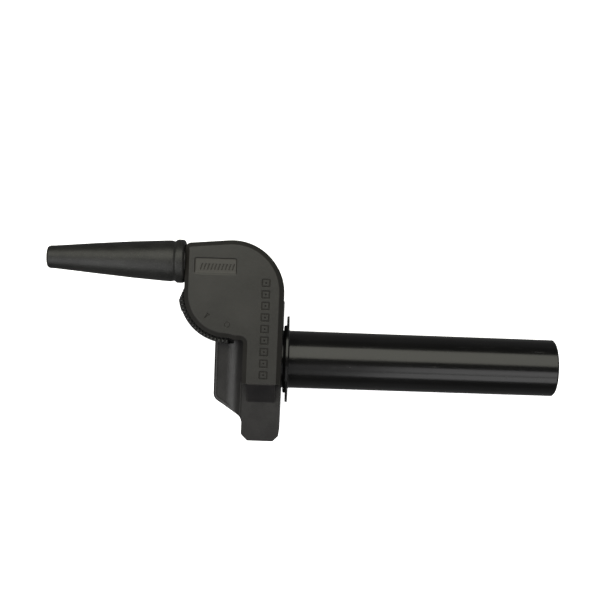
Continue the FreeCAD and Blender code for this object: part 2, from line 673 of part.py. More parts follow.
def make_clamp_screws():
    screws = []
    for side in (-1, 1):
        y = side * CLAMP_SCREW_Y
        shank = along_z(CLAMP_SCREW_R, CLAMP_HEAD_Z, INSERT_Z[1] + 0.4, CLAMP_SCREW_X, y)
        head = along_z(CLAMP_HEAD_R, CLAMP_HEAD_Z - CLAMP_HEAD_H, CLAMP_HEAD_Z, CLAMP_SCREW_X, y)
        rim = edges_where(head, lambda b: b.ZMax < CLAMP_HEAD_Z - 1 and b.XLength > 1)
        head = head.makeFillet(0.5, rim)
        crown_z = CLAMP_HEAD_Z - CLAMP_HEAD_H
        key = hexagon_face(CLAMP_KEY_AF, lambda a, b: V(CLAMP_SCREW_X + a, y + b, crown_z))
        socket = key.extrude(V(0, 0, CLAMP_KEY_DEPTH))
        screws.append(shank.fuse(head).cut(socket).removeSplitter())
    return Part.makeCompound(screws)


def make_clamp_inserts():
    inserts = []
    for side in (-1, 1):
        y = side * CLAMP_SCREW_Y
        low, high = INSERT_Z
        sleeve = along_z(INSERT_R, low, high, CLAMP_SCREW_X, y)
        waist_h, waist_depth = INSERT_WAIST
        for z in INSERT_WAISTS:
            waist = along_z(INSERT_R + PAST, z, z + waist_h, CLAMP_SCREW_X, y)
            sleeve = sleeve.cut(waist.cut(along_z(INSERT_R - waist_depth, 0, THROUGH, CLAMP_SCREW_X, y)))
        thread = along_z(CLAMP_SCREW_R + FIXED_GAP, low - PAST, high + PAST, CLAMP_SCREW_X, y)
        inserts.append(sleeve.cut(thread))
    return Part.makeCompound(inserts)


# ---------------------------------------------------------------- throttle tube

def make_throttle_tube():
    stop_low, stop_high = GRIP_STOP_X
    tube = revolve_x([
        (TUBE_INNER_X, TUBE_BORE_R), (TUBE_INNER_X, DRUM_R), (DRUM_END_X, DRUM_R),
        (DRUM_END_X, TUBE_R), (stop_low, TUBE_R), (stop_low, GRIP_STOP_R),
        (stop_high, GRIP_STOP_R), (stop_high, TUBE_R + 0.5), (stop_high + 0.5, TUBE_R),
        (TUBE_END_X - 0.7, TUBE_END_R), (TUBE_END_X, TUBE_END_R - 0.7),
        (TUBE_END_X, TUBE_BORE_R + 0.4), (TUBE_END_X - 0.4, TUBE_BORE_R),
    ])
    relief = bar_sector(DRUM_R + PAST, RELIEF_DEG[0], RELIEF_DEG[1], TUBE_INNER_X - PAST, DRUM_END_X + 0.001)
    tube = tube.cut(relief.cut(along_x(RELIEF_R, 0, THROUGH)))
    groove_low = DRUM_CABLE_R - CABLE_R
    groove = along_x(DRUM_R + PAST, DRUM_CABLE_X - CABLE_R - 0.2, DRUM_CABLE_X + CABLE_R + 0.2)
    groove = groove.cut(along_x(groove_low, 0, THROUGH))
    groove = groove.common(bar_sector(DRUM_R + 2, -4, NIPPLE_DEG, 0, THROUGH))
    tube = tube.cut(groove)
    angle = math.radians(NIPPLE_DEG)
    pocket_y = DRUM_CABLE_R * math.cos(angle)
    pocket_z = DRUM_CABLE_R * math.sin(angle)
    tube = tube.cut(along_x(NIPPLE_R, DRUM_CABLE_X - 2.0, DRUM_END_X + PAST, pocket_y, pocket_z))
    return tube.removeSplitter()


def make_tube_seal():
    low, high = SEAL_X
    return revolve_x([(low, TUBE_R + FIXED_GAP), (low, SEAL_R - 0.5), (low + 0.4, SEAL_R),
                      (high, SEAL_R), (high, TUBE_R + FIXED_GAP)])


def make_thrust_washer():
    low = CHAMBER_X[0] + RUN_GAP
    return along_x(DRUM_R - PAST, low, low + WASHER_T).cut(along_x(BAR_R + 0.3, 0, THROUGH))


# ---------------------------------------------------------------- pulley group

def make_guide_pulley():
    low, high = PULLEY_Z
    web_low, web_high = PULLEY_WEB_Z
    hub_r, web_r, rim_r = PULLEY_WEB_R
    groove_r = PULLEY_CABLE_R - CABLE_R
    pulley = revolve_z([
        (BUSH_R + FIXED_GAP, low), (hub_r, low), (hub_r, web_low), (web_r, web_low), (rim_r, low),
        (PULLEY_R - 0.4, low), (PULLEY_R, low + 0.4), (groove_r, CABLE_Z - CABLE_R),
        (groove_r, CABLE_Z + CABLE_R), (PULLEY_R, high - 0.4), (PULLEY_R - 0.4, high),
        (rim_r, high), (web_r, web_high), (hub_r, web_high), (hub_r, high),
        (BUSH_R + FIXED_GAP, high),
    ], PULLEY_X, PULLEY_Y)
    count, circle_r, hole_r = PULLEY_HOLES
    for i in range(count):
        centre = polar(circle_r, (i + 0.5) * 360.0 / count)
        pulley = pulley.cut(along_z(hole_r, low, high, centre.x, centre.y))
    return pulley


def make_pulley_bush():
    low, high = PULLEY_Z
    bush = along_z(BUSH_R, low - RUN_GAP, high + RUN_GAP, PULLEY_X, PULLEY_Y)
    return bush.cut(along_z(AXLE_R + RUN_GAP, 0, THROUGH, PULLEY_X, PULLEY_Y))


def make_pulley_axle():
    axle = along_z(AXLE_R, TRAY_Z, AXLE_TOP_Z, PULLEY_X, PULLEY_Y)
    axle = axle.fuse(along_z(AXLE_HEAD_R, TRAY_Z, TRAY_Z + AXLE_HEAD_H, PULLEY_X, PULLEY_Y))
    ring = along_z(AXLE_R + PAST, CLIP_Z[0] - 0.03, CLIP_Z[1] + 0.03, PULLEY_X, PULLEY_Y)
    ring = ring.cut(along_z(CLIP_GROOVE_R, 0, THROUGH, PULLEY_X, PULLEY_Y))
    axle = axle.cut(ring)
    top = edges_where(axle, lambda b: b.ZMin > AXLE_TOP_Z - 0.01)
    return axle.makeChamfer(0.4, top).removeSplitter()


def make_axle_clip():
    """Open retaining ring in the axle's groove."""
    low, high = CLIP_Z
    clip = along_z(AXLE_R + 2.0, low, high, PULLEY_X, PULLEY_Y)
    clip = clip.cut(along_z(CLIP_GROOVE_R + FIXED_GAP, low - PAST, high + PAST, PULLEY_X, PULLEY_Y))
    mouth = sector(AXLE_R + 4, -CLIP_MOUTH_DEG, CLIP_MOUTH_DEG, low - PAST, high + PAST)
    return clip.cut(mouth)


def make_pulley_washer():
    low = PULLEY_Z[1] + 3 * RUN_GAP
    washer = along_z(BUSH_R + 1.2, low, CLIP_Z[0] - RUN_GAP, PULLEY_X, PULLEY_Y)
    return washer.cut(along_z(AXLE_R + RUN_GAP, 0, THROUGH, PULLEY_X, PULLEY_Y))


def quadrant_outline():
    """Rim of the thumb quadrant in plan, from its ramped end round to its square end."""
    start, end = QUAD_DEG
    middle = (start + end) / 2.0
    ramp_start = polar(*QUAD_RAMP)
    inner_start = polar(QUAD_RIM_R, QUAD_RAMP[1])
    return Part.Face(Part.Wire([
        Part.Arc(polar(QUAD_R, start), polar(QUAD_R, middle), polar(QUAD_R, end)).toShape(),
        Part.LineSegment(polar(QUAD_R, end), polar(QUAD_RIM_R, end)).toShape(),
        Part.Arc(polar(QUAD_RIM_R, end), polar(QUAD_RIM_R, middle), inner_start).toShape(),
        Part.LineSegment(inner_start, ramp_start).toShape(),
        Part.LineSegment(ramp_start, polar(QUAD_R, start)).toShape(),
    ]))


def rim_section():
    """Section of the toothed rim: a round crest outside and a gutter beside the cover."""
    low, high = QUAD_Z
    centre_r = QUAD_R - CREST_R
    centre_z = high - CREST_R
    section = [(0, low - PAST), (QUAD_R, low - PAST)]
    for i in range(9):
        angle = math.radians(22.5 * i)
        section.append((centre_r + CREST_R * math.cos(angle), centre_z + CREST_R * math.sin(angle)))
    gutter_z = high - CREST_GAP
    return section + [(centre_r - CREST_R, gutter_z), (0, gutter_z)]


def tooth_gap(degrees):
    """Wedge that parts two teeth, cut across the crest toward the pulley's axis."""
    high = QUAD_Z[1]
    wide, narrow = TOOTH_GAP
    inner = PULLEY_X + QUAD_R - 2 * CREST_R - 0.3
    section = [(PULLEY_Y - wide, high + 0.1), (PULLEY_Y - narrow, high - TOOTH_DEPTH),
               (PULLEY_Y + narrow, high - TOOTH_DEPTH), (PULLEY_Y + wide, high + 0.1)]
    wedge = profile_prism(section, inner, PULLEY_X + QUAD_R + PAST)
    wedge.rotate(V(PULLEY_X, PULLEY_Y, 0), Z_AXIS, degrees)
    return wedge


def make_friction_quadrant():
    """Thumb quadrant: hub on the axle, web under the pulley, toothed rim outside."""
    low, high = QUAD_Z
    web_top = low + QUAD_WEB_T
    end = QUAD_DEG[1]
    rim = quadrant_outline()
    rim.translate(V(0, 0, low))
    rim = rim.extrude(V(0, 0, high - low))
    rim = rim.common(revolve_z(rim_section(), PULLEY_X, PULLEY_Y))
    lug_r, lug_start, lug_end = QUAD_LUG
    lug = sector(lug_r, lug_start, lug_end, low, high - CREST_GAP)
    lug = lug.cut(along_z(QUAD_R - PAST, low - PAST, high, PULLEY_X, PULLEY_Y))
    web = sector(QUAD_RIM_R + 0.6, QUAD_RAMP[1] + 2, end - 2, low, web_top)
    hub = along_z(QUAD_HUB_R, low, web_top, PULLEY_X, PULLEY_Y)
    quadrant = rim.fuse([lug, web, hub]).removeSplitter()
    quadrant = quadrant.cut(along_z(AXLE_R + RUN_GAP, low - PAST, high, PULLEY_X, PULLEY_Y))
    pitch = 360.0 / TOOTH_COUNT
    count = int((end - TOOTH_FIRST_DEG) / pitch)
    return quadrant.cut([tooth_gap(TOOTH_FIRST_DEG + i * pitch) for i in range(count + 1)])


def make_friction_washer():
    """Fibre disc that drags on the pulley's underside."""
    top = PULLEY_Z[0] - 2 * RUN_GAP
    disc = along_z(QUAD_HUB_R - 1.5, top - FRICTION_T, top, PULLEY_X, PULLEY_Y)
    return disc.cut(along_z(AXLE_R + FIXED_GAP, 0, THROUGH, PULLEY_X, PULLEY_Y))


def make_spring_washer():
    """Dished spring washer between the quadrant's hub and the fibre disc."""
    low = QUAD_Z[0] + QUAD_WEB_T + RUN_GAP
    high = PULLEY_Z[0] - 2 * RUN_GAP - FRICTION_T - FIXED_GAP
    inner = AXLE_R + 0.2
    outer = QUAD_HUB_R - 1.8
    return revolve_z([(inner, high - SPRING_T), (inner, high), (inner + 0.6, high),
                      (outer, low + SPRING_T), (outer, low)], PULLEY_X, PULLEY_Y)


# ---------------------------------------------------------------- cable entry

def make_adjuster_bush():
    """Flanged bush held between body and cover; tapped for the adjuster."""
    wall_out = LOBE_LEFT
    wall_in = LOBE_LEFT + WALL
    collar = wall_out - SPIGOT_COLLAR_T
    bush = revolve_x([
        (collar, ADJUSTER_R + FIXED_GAP), (collar, SPIGOT_COLLAR_R),
        (wall_out - 0.1, SPIGOT_COLLAR_R), (wall_out - 0.1, SPIGOT_R), (wall_in + 0.1, SPIGOT_R),
        (wall_in + 0.1, SPIGOT_FLANGE_R), (wall_in + 1.2, SPIGOT_FLANGE_R),
        (wall_in + 1.2, ADJUSTER_R + FIXED_GAP),
    ], CABLE_Y, CABLE_Z)
    above_plate = FRONT_Z - PLATE - FIXED_GAP
    return bush.cut(box(wall_in, wall_in + 2, CABLE_Y - 10, CABLE_Y + 10, above_plate, 30))


def make_locknut():
    high = LOBE_LEFT - SPIGOT_COLLAR_T - RUN_GAP
    low = high - LOCKNUT_T
    face = hexagon_face(LOCKNUT_AF, lambda a, b: V(low, CABLE_Y + a, CABLE_Z + b))
    nut = face.extrude(V(LOCKNUT_T, 0, 0))
    corner = LOCKNUT_AF / math.sqrt(3.0)
    shape = revolve_x([(low, 0), (low, corner - 0.8), (low + 0.6, corner + 0.05),
                       (high - 0.6, corner + 0.05), (high, corner - 0.8), (high, 0)], CABLE_Y, CABLE_Z)
    nut = nut.common(shape)
    return nut.cut(along_x(ADJUSTER_R + FIXED_GAP, low - PAST, high + PAST, CABLE_Y, CABLE_Z))


def make_cable_adjuster():
    low, high = ADJUSTER_X
    return revolve_x([
        (low, CONDUIT_R), (low, ADJUSTER_HEAD_R - 0.4), (low + 0.4, ADJUSTER_HEAD_R),
        (ADJUSTER_HEAD_X, ADJUSTER_HEAD_R), (ADJUSTER_HEAD_X, ADJUSTER_R), (high - 0.5, ADJUSTER_R),
        (high, ADJUSTER_R - 0.5), (high, ADJUSTER_BORE_R), (low + CONDUIT_DEPTH, ADJUSTER_BORE_R),
        (low + CONDUIT_DEPTH, CONDUIT_R),
    ], CABLE_Y, CABLE_Z)


def make_cable_boot():
    """Tapered rubber boot with a thick base collar, hollow over the adjuster."""
    low, high = BOOT_COLLAR_X
    outer = list(BOOT_OUTLINE)
    outer += [(low, BOOT_COLLAR_R - 0.4), (low + 0.4, BOOT_COLLAR_R), (high - 0.5, BOOT_COLLAR_R),
              (high, BOOT_COLLAR_R - 0.5)]
    base_r = SPIGOT_COLLAR_R + 0.5
    inner = [(high, base_r), (low - 3.4, base_r)]
    for x, r in reversed(BOOT_OUTLINE[2:6]):
        inner.append((x, r - BOOT_WALL))
    inner += [(BOOT_TIP_X + 5.0, BOOT_MOUTH_R), (BOOT_TIP_X, BOOT_MOUTH_R)]
    return revolve_x(outer + inner, CABLE_Y, CABLE_Z)


# ---------------------------------------------------------------- write

PARTS = {
    "housing_body": make_housing_body,
    "rear_clamp_half": make_rear_clamp_half,
    "top_cover": make_top_cover,
    "clamp_screws": make_clamp_screws,
    "clamp_inserts": make_clamp_inserts,
    "housing_screws": make_housing_screws,
    "cover_screws": make_cover_screws,
    "throttle_tube": make_throttle_tube,
    "tube_seal": make_tube_seal,
    "thrust_washer": make_thrust_washer,
    "guide_pulley": make_guide_pulley,
    "pulley_bush": make_pulley_bush,
    "pulley_axle": make_pulley_axle,
    "axle_clip": make_axle_clip,
    "pulley_washer": make_pulley_washer,
    "friction_quadrant": make_friction_quadrant,
    "friction_washer": make_friction_washer,
    "spring_washer": make_spring_washer,
    "adjuster_bush": make_adjuster_bush,
    "adjuster_locknut": make_locknut,
    "cable_adjuster": make_cable_adjuster,
    "cable_boot": make_cable_boot,
}

os.makedirs("parts", exist_ok=True)
for name, make in PARTS.items():
    shape = make()
    if not shape.isValid():
        raise RuntimeError(name + " is not a valid solid")
    shape.exportStep("parts/" + name + ".step")
    bounds = shape.BoundBox
    print(name, len(shape.Solids), "solids", round(shape.Volume / 1000.0, 3), "cm3",
          [round(v, 2) for v in (bounds.XMin, bounds.YMin, bounds.ZMin,
                                 bounds.XMax, bounds.YMax, bounds.ZMax)])
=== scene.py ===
import json
import math

import bmesh
import bpy
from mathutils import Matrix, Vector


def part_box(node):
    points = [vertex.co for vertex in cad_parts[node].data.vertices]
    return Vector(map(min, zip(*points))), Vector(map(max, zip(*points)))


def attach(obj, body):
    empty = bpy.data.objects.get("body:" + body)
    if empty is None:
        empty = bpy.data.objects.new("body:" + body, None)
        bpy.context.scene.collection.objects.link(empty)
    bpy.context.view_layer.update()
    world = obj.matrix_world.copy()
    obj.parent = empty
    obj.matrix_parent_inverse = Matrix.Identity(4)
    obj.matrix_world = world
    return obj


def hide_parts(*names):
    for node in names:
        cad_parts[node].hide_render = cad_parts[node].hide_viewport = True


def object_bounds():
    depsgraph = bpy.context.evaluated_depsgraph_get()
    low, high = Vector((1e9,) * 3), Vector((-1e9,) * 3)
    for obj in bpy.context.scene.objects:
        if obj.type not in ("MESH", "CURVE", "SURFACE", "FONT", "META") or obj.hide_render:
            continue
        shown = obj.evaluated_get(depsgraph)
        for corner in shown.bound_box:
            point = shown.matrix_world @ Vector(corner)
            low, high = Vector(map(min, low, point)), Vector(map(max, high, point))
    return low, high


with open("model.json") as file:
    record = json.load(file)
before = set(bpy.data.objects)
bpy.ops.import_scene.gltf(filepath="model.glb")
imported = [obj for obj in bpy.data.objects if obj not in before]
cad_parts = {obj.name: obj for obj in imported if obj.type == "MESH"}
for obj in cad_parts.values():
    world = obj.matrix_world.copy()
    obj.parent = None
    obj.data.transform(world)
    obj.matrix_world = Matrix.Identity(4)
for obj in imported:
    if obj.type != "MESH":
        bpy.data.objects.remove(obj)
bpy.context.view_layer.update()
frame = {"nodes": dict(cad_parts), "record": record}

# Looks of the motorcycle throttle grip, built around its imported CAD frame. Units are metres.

MM = 0.001

# ---------------------------------------------------------------- camera and stage sizes

CAMERA_HEIGHT = 475 * MM        # above the handlebar axis
CAMERA_X = 36.8 * MM
CAMERA_Y = 27.34 * MM
CAMERA_TURN = math.radians(1.97)
CAMERA_NEAR = 10 * MM
LENS_MM = 62.58
FLOOR_SIZE = 3.0
FLOOR_TONES = (0.90, 0.92)
FLOOR_GLOW = 0.85
FLOOR_MIRRORED = 0.14           # brightness of the floor in the part's reflections
ROOM_GLOW = 0.08
PANEL_HEIGHT = 1.0

# soft overhead panels: name, degrees from the vertical toward +X and toward +Y, radiance, colour
WARM = (1.0, 0.995, 0.88)
WHITE = (1.0, 1.0, 1.0)
LIGHT_PANELS = (
    ("far_panel", (-48, 48), (9.5, 57), 2.45, WARM),
    ("near_left_panel", (-50, -17), (-62, -1.5), 2.6, WHITE),
    ("near_middle_panel", (-17, 10), (-56, -16), 0.35, WHITE),
    ("near_right_inner_panel", (10, 48), (-35, -14), 2.2, WHITE),
    ("near_right_outer_panel", (10, 48), (-60, -38), 2.2, WHITE),
)

# ---------------------------------------------------------------- sizes on the part

# floor of the name panel sunk into the cover's face, and the rim over which its painted sheen
# fades in
NAME_PANEL = ((-8.9 * MM, 37.6 * MM, 24.0 * MM), (9.2 * MM, 44.0 * MM, 25.25 * MM))
NAME_PANEL_EDGE = 0.2 * MM

# rubber boot in mm, as pairs of a distance along the axis and a radius
BOOT_TAPER = ((0.2, 3.3), (0.0, 3.9), (0.1, 4.5), (0.9, 4.95), (3.0, 5.05), (18.6, 6.4),
              (29.2, 7.3), (37.2, 8.0), (45.0, 8.45), (52.6, 8.9))      # outside, from the tip
BOOT_GROOVE = ((-1.6, 8.95), (-0.6, 8.55), (-0.1, 8.6))     # outside, from the collar
BOOT_SOCKET = ((-1.0, 7.15), (-7.25, 7.15))                 # inside, from the base
BOOT_HOLLOW = ((44.0, 6.9), (29.0, 5.7), (18.0, 4.8), (5.0, 3.25), (0.4, 3.25))     # to the tip
BOOT_COLLAR = 4.25              # length of the collar
# pairs of a distance and a depth below the boot's full radius
COLLAR_START = ((0.1, 0.4), (0.6, 0.02))                    # from the collar's near face
COLLAR_END = ((-0.9, 0.02), (-0.1, 0.5), (0.0, 1.3), (0.0, 2.3))    # from the base
BOOT_STEP = 0.45 * MM
BOOT_SEGMENTS = 128
MOULD_LINE = (0.06 * MM, 0.02)  # height, and width as the sine of a turn
SAG = ((0.04 * MM, 3, 90.0), (0.03 * MM, 2, 210.0))     # depth, waves round, waves along

# ---------------------------------------------------------------- surface levels

BEVEL_SAMPLES = 6
CORNER_SAMPLES = 8
CORNER_SHADE_POWER = 1.5               # power by which the painted shade darkens the shine in corners
EDGE_GAIN = 4.0
# moulded plastic: how much each mark shows, and its brightness beside the light tone
SPECK_SHARE, SPECK_LIFT = 0.22, 1.5
# edges lighter: rubbed wear and a painted edge highlight
WEAR_AND_HIGHLIGHT_LIFT = 3.0
# paler name panel: a painted sheen for its smoother finish
PANEL_SHEEN_SHARE, PANEL_SHEEN_LIFT = 0.8, 2.2
WEAR_AND_HIGHLIGHT_WIDTH = 0.35 * MM
MOULDED_EDGE = 0.16 * MM        # radius that edges seem to have
COARSE_GRAIN, FINE_GRAIN = 0.08 * MM, 0.02 * MM
PLASTIC_CORNER_SHADE, RUBBER_CORNER_SHADE = 0.8 * MM, 1.0 * MM      # reach of the painted shade out of a corner


# ---------------------------------------------------------------- node helpers

class Tree:
    """Short-hand for building one material's node tree."""

    def __init__(self, name):
        self.material = bpy.data.materials.new(name)
        self.material.use_nodes = True
        self.nodes = self.material.node_tree.nodes
        self.links = self.material.node_tree.links
        self.nodes.clear()
        self.output = self.nodes.new("ShaderNodeOutputMaterial")
        self.shader = self.nodes.new("ShaderNodeBsdfPrincipled")
        self.links.new(self.shader.outputs[0], self.output.inputs["Surface"])
        self.place = self.nodes.new("ShaderNodeTexCoord").outputs["Object"]

    def link(self, source, target):
        self.links.new(source, target)

    def put(self, value, socket):
        """Sets a socket from a number, a colour or another node's output."""
        if isinstance(value, bpy.types.NodeSocket):
            self.link(value, socket)
        elif isinstance(value, tuple) and len(value) == 3 and socket.type == "RGBA":
            socket.default_value = (*value, 1.0)
        else:
            socket.default_value = value

    def stretch(self, x, y, z):
        """Object coordinates scaled apart, for streaks."""
        node = self.nodes.new("ShaderNodeMapping")
        self.link(self.place, node.inputs["Vector"])
        node.inputs["Scale"].default_value = (x, y, z)
        return node.outputs[0]

    def noise(self, scale, detail=3.0, rough=0.5, vector=None, distortion=0.0):
        node = self.nodes.new("ShaderNodeTexNoise")
        self.link(vector or self.place, node.inputs["Vector"])
        node.inputs["Scale"].default_value = scale
        node.inputs["Detail"].default_value = detail
        node.inputs["Roughness"].default_value = rough
        node.inputs["Distortion"].default_value = distortion
        return node.outputs["Fac"]

    def ramp(self, fac, stops):
        """Colour ramp from (position, grey or colour) stops."""
        node = self.nodes.new("ShaderNodeValToRGB")
        self.put(fac, node.inputs["Fac"])
        ramp = node.color_ramp
        while len(ramp.elements) < len(stops):
            ramp.elements.new(0.5)
        for element, (position, value) in zip(ramp.elements, stops):
            element.position = position
            colour = value if isinstance(value, tuple) else (value, value, value)
            element.color = (*colour, 1.0)
        return node.outputs["Color"]

    def mix(self, fac, a, b):
        node = self.nodes.new("ShaderNodeMix")
        node.data_type = "RGBA"
        self.put(fac, node.inputs["Factor"])
        self.put(a, node.inputs[6])
        self.put(b, node.inputs[7])
        return node.outputs[2]

    def math(self, operation, a, b=0.0, clamp=False):
        node = self.nodes.new("ShaderNodeMath")
        node.operation = operation
        node.use_clamp = clamp
        self.put(a, node.inputs[0])
        self.put(b, node.inputs[1])
        return node.outputs[0]

    def scaled(self, fac, low, high):
        """A 0 to 1 value moved to the range low to high."""
        node = self.nodes.new("ShaderNodeMapRange")
        self.put(fac, node.inputs["Value"])
        node.inputs["To Min"].default_value = low
        node.inputs["To Max"].default_value = high
        return node.outputs[0]

    def bump(self, height, distance, strength=1.0, below=None):
        node = self.nodes.new("ShaderNodeBump")
        node.inputs["Strength"].default_value = strength
        node.inputs["Distance"].default_value = distance
        self.link(height, node.inputs["Height"])
        if below is not None:
            self.link(below, node.inputs["Normal"])
        return node.outputs[0]

    def rounded(self, radius):
        """Surface normal as if edges had this radius."""
        node = self.nodes.new("ShaderNodeBevel")
        node.samples = BEVEL_SAMPLES
        node.inputs["Radius"].default_value = radius
        return node.outputs[0]

    def edges(self, radius):
        """1 on sharp edges and 0 on flats, from how far a rounded normal leans."""
        geometry = self.nodes.new("ShaderNodeNewGeometry")
        dot = self.nodes.new("ShaderNodeVectorMath")
        dot.operation = "DOT_PRODUCT"
        self.link(self.rounded(radius), dot.inputs[0])
        self.link(geometry.outputs["Normal"], dot.inputs[1])
        return self.scaled(self.math("SUBTRACT", 1.0, dot.outputs["Value"]), 0.0, EDGE_GAIN)

    def corner_shaded_shine(self, distance, level):
        """Specular level that fades in grooves and corners: painted shade in the hollows."""
        node = self.nodes.new("ShaderNodeAmbientOcclusion")
        node.samples = CORNER_SAMPLES
        node.only_local = True
        node.inputs["Distance"].default_value = distance
        return self.math("MULTIPLY", self.math("POWER", node.outputs["AO"], CORNER_SHADE_POWER), level)

    def inside(self, low, high, soft):
        """1 inside a box in the frame's own coordinates and 0 outside it."""
        split = self.nodes.new("ShaderNodeSeparateXYZ")
        self.link(self.place, split.inputs[0])
        mask = 1.0
        for axis in range(3):
            for sign, limit in ((1.0, low[axis]), (-1.0, -high[axis])):
                place = self.math("MULTIPLY", split.outputs[axis], sign)
                past = self.math("SUBTRACT", place, limit)
                mask = self.math("MULTIPLY", mask, self.math("DIVIDE", past, soft, True))
        return mask

    def finish(self, **sockets):
        """Sets the shader's sockets, named with _ for a space, and gives the material."""
        for name, value in sockets.items():
            self.put(value, self.shader.inputs[name.replace("_", " ")])
        return self.material


def times(factor, colour):
    """A colour made brighter or darker."""
    return tuple(factor * channel for channel in colour)


# ---------------------------------------------------------------- materials

def moulded_plastic(name, tones, roughness, grain, edge_wear_and_highlight, panel=None):
    """Grained black moulding: mottled tone, fine grain, edges lighter from rubbed wear and a
    painted edge highlight.

    A panel is a box in which the moulding is painted paler, a painted sheen for its smoother
    finish.
    """
    t = Tree(name)
    dark, light = tones
    mottle = t.noise(55.0, 4.0, 0.55)
    tone = t.ramp(mottle, [(0.35, dark), (0.68, light)])
    specks = t.ramp(t.noise(2600.0, 2.0, 0.6), [(0.46, 0.0), (0.62, 1.0)])
    tone = t.mix(t.math("MULTIPLY", specks, SPECK_SHARE), tone, times(SPECK_LIFT, light))
    patches = t.scaled(t.noise(420.0, 3.0), 0.1, 1.0)
    # edges painted lighter: partly rubbed wear, partly a painted edge highlight
    wear_and_edge_highlight = t.math("MULTIPLY", t.edges(WEAR_AND_HIGHLIGHT_WIDTH), patches, True)
    tone = t.mix(t.math("MULTIPLY", wear_and_edge_highlight, edge_wear_and_highlight), tone, times(WEAR_AND_HIGHLIGHT_LIFT, light))
    coarse = t.bump(t.noise(700.0, 3.0, 0.6), COARSE_GRAIN, grain, t.rounded(MOULDED_EDGE))
    fine = t.bump(t.noise(3600.0, 2.0, 0.6), FINE_GRAIN, grain, coarse)
    if panel is not None:
        # paler name panel: a painted sheen for its smoother finish
        painted_sheen_field = t.inside(*panel, NAME_PANEL_EDGE)
        tone = t.mix(t.math("MULTIPLY", painted_sheen_field, PANEL_SHEEN_SHARE), tone, times(PANEL_SHEEN_LIFT, light))
    # specular level fades in grooves and corners: painted shade
    return t.finish(Base_Color=tone, Roughness=t.scaled(t.noise(140.0, 5.0, 0.6), *roughness),
                    Normal=fine, Specular_IOR_Level=t.corner_shaded_shine(PLASTIC_CORNER_SHADE, 0.5))


def gloss_black_plastic():
    """Smooth nylon tube: near-black, with long drawing marks from the mould core."""
    t = Tree("gloss_black_tube")
    streaks = t.noise(1.0, 4.0, 0.6, t.stretch(26.0, 2200.0, 2200.0))
    tone = t.ramp(t.noise(40.0, 3.0), [(0.3, 0.002), (0.7, 0.004)])
    blotches = t.noise(1.0, 5.0, 0.7, t.stretch(90.0, 700.0, 700.0))
    scuffs = t.ramp(blotches, [(0.58, 0.0), (0.75, 1.0)])
    tone = t.mix(t.math("MULTIPLY", scuffs, 0.3), tone, (0.03, 0.03, 0.03))
    roughness = t.math("ADD", t.scaled(streaks, 0.12, 0.26), t.math("MULTIPLY", scuffs, 0.12))
    normal = t.bump(streaks, 0.012 * MM, 0.35, t.rounded(0.2 * MM))
    return t.finish(Base_Color=tone, Roughness=roughness, Normal=normal, Specular_IOR_Level=0.41)


def boot_rubber():
    """Satin moulded rubber with faint rings and a dusting of bloom."""
    t = Tree("boot_rubber")
    bloom = t.ramp(t.noise(90.0, 5.0, 0.65),
                   [(0.35, (0.008, 0.008, 0.0075)), (0.75, (0.018, 0.018, 0.017))])
    specks = t.ramp(t.noise(2400.0, 2.0, 0.6), [(0.55, 0.0), (0.7, 1.0)])
    tone = t.mix(t.math("MULTIPLY", specks, 0.35), bloom, (0.06, 0.06, 0.056))
    rings = t.noise(1.0, 2.0, 0.5, t.stretch(900.0, 60.0, 60.0))
    low = t.bump(rings, 0.03 * MM, 0.4)
    pebble = t.bump(t.noise(1500.0, 3.0, 0.6), 0.10 * MM, 1.0, low)
    fine = t.bump(t.noise(2600.0, 3.0, 0.6), 0.03 * MM, 0.6, pebble)
    # specular level fades in grooves and corners: painted shade
    return t.finish(Base_Color=tone, Roughness=t.scaled(t.noise(160.0, 4.0), 0.30, 0.46),
                    Normal=fine, Specular_IOR_Level=t.corner_shaded_shine(RUBBER_CORNER_SHADE, 0.36))


def plain_rubber():
    """Dull black rubber of the seal."""
    t = Tree("seal_rubber")
    tone = t.ramp(t.noise(300.0, 3.0), [(0.3, 0.002), (0.7, 0.006)])
    return t.finish(Base_Color=tone, Roughness=t.scaled(t.noise(500.0), 0.5, 0.7),
                    Specular_IOR_Level=t.scaled(t.noise(700.0), 0.10, 0.2),
                    Normal=t.bump(t.noise(2000.0), 0.03 * MM, 0.5))


def turned_metal(name, tint, roughness):
    """Bare or plated metal with turning marks and dull patches."""
    t = Tree(name)
    tone = t.ramp(t.noise(600.0, 4.0), [(0.3, times(0.75, tint)), (0.7, tint)])
    turned = t.noise(1.0, 2.0, 0.5, t.stretch(5000.0, 500.0, 500.0))
    return t.finish(Base_Color=tone, Metallic=1.0,
                    Roughness=t.scaled(t.noise(900.0, 4.0), *roughness),
                    Normal=t.bump(turned, 0.01 * MM, 0.4, t.rounded(0.15 * MM)))


def pale_plastic(name, tint):
    """Unpigmented nylon or acetal, a little see-through at its edges."""
    t = Tree(name)
    tone = t.ramp(t.noise(260.0, 3.0), [(0.3, times(0.86, tint)), (0.7, tint)])
    return t.finish(Base_Color=tone, Roughness=t.scaled(t.noise(700.0, 3.0), 0.32, 0.45),
                    Subsurface_Weight=0.15, Subsurface_Scale=0.8 * MM,
                    Normal=t.bump(t.noise(1500.0, 3.0), 0.01 * MM, 0.5, t.rounded(0.2 * MM)))


def pressed_fibre():
    """Brown friction material with strands pressed flat."""
    t = Tree("pressed_fibre")
    strands = t.noise(1.0, 5.0, 0.7, t.stretch(3500.0, 900.0, 900.0), 1.5)
    tone = t.ramp(strands, [(0.3, (0.10, 0.05, 0.025)), (0.7, (0.24, 0.14, 0.08))])
    return t.finish(Base_Color=tone, Roughness=0.85, Normal=t.bump(strands, 0.05 * MM, 0.6))


